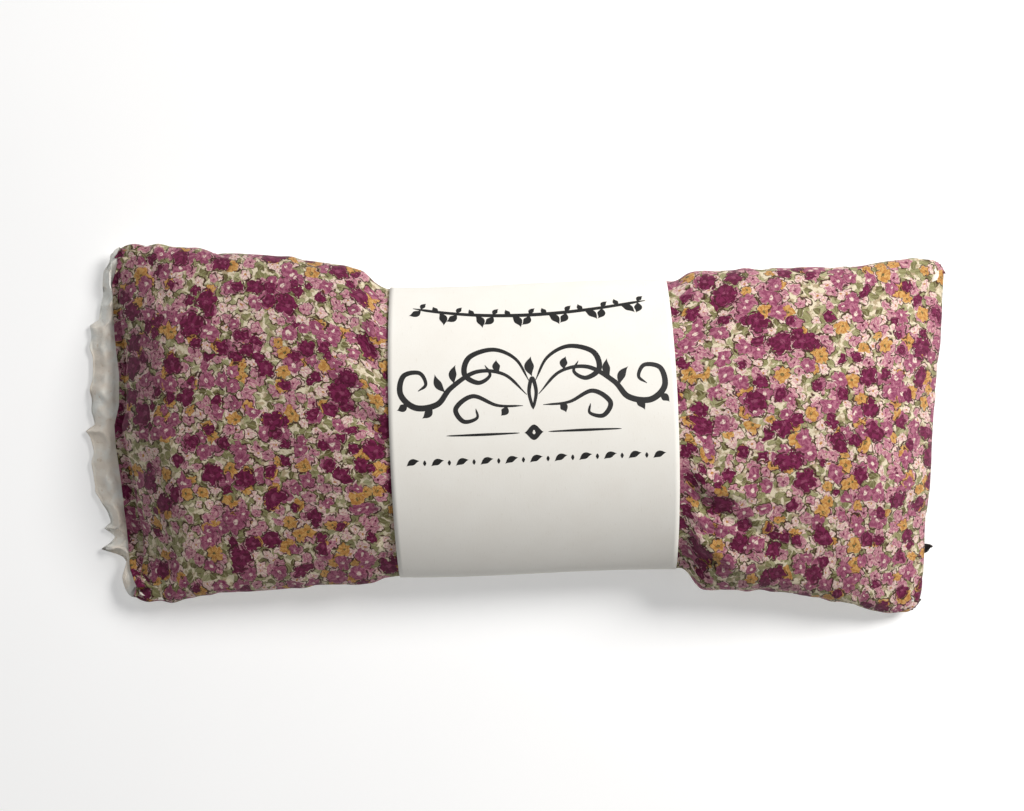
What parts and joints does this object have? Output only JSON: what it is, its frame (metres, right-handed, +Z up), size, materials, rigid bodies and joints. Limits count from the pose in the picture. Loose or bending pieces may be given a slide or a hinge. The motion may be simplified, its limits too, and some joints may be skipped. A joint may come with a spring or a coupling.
{
  "type": "eye pillow",
  "caption": "Flat rectangular eye pillow: a cotton and plush slip cover round a seed-filled insert, pinched at the waist by a wide paper band.",
  "frame": {"origin": "under the middle of the whole object, on the surface it rests on", "axes": "+X along the pillow from the open mouth to the closed end, +Y across it, +Z up from the plush back to the printed front"},
  "size_m": [0.2332, 0.0966, 0.0352],
  "materials": {
    "floral_cotton": "matte",
    "plush": "matte",
    "plum_thread": "matte",
    "label_ribbon": "satin",
    "calico": "matte",
    "cream_thread": "matte",
    "seeds": "satin",
    "dried_buds": "matte",
    "band_paper": "matte",
    "glue": "satin"
  },
  "bodies": {
    "cover": {"cover_front": "floral_cotton", "cover_back": "plush", "mouth_facing": "floral_cotton", "far_seam_stitches": "plum_thread", "near_seam_stitches": "plum_thread", "end_seam_stitches": "plum_thread", "hem_stitches": "plum_thread", "facing_stitches": "plum_thread"},
    "label": {"side_label": "label_ribbon"},
    "insert": {"insert_front": "calico", "insert_back": "calico", "flax_seed_fill": "seeds", "lavender_buds": "dried_buds", "insert_seam_stitches": "cream_thread", "insert_closing_stitches": "cream_thread"},
    "band": {"belly_band": "band_paper", "band_glue_strip": "glue"}
  },
  "joints": [
    {"name": "band_slide", "type": "slide", "parent": "cover", "child": "band", "axis": [1, 0, 0], "range_m": [0, 0.165], "deforming": ["cover_front", "cover_back", "far_seam_stitches", "near_seam_stitches", "end_seam_stitches", "insert_front", "insert_back", "flax_seed_fill", "insert_seam_stitches", "insert_closing_stitches"]},
    {"name": "insert_slide", "type": "slide", "parent": "cover", "child": "insert", "axis": [-1, 0, 0], "range_m": [0, 0.23], "deforming": ["insert_front", "insert_back", "flax_seed_fill", "lavender_buds", "insert_seam_stitches", "insert_closing_stitches", "cover_front", "cover_back", "mouth_facing", "far_seam_stitches", "near_seam_stitches", "hem_stitches", "facing_stitches"]},
    {"name": "label_flip", "type": "hinge", "parent": "cover", "child": "label", "pos_m": [0.11225, -0.03045, 0.00446], "axis": [0.0558, 0.9984, 0], "range_deg": [-75, 60], "deforming": ["side_label"]}
  ]
}
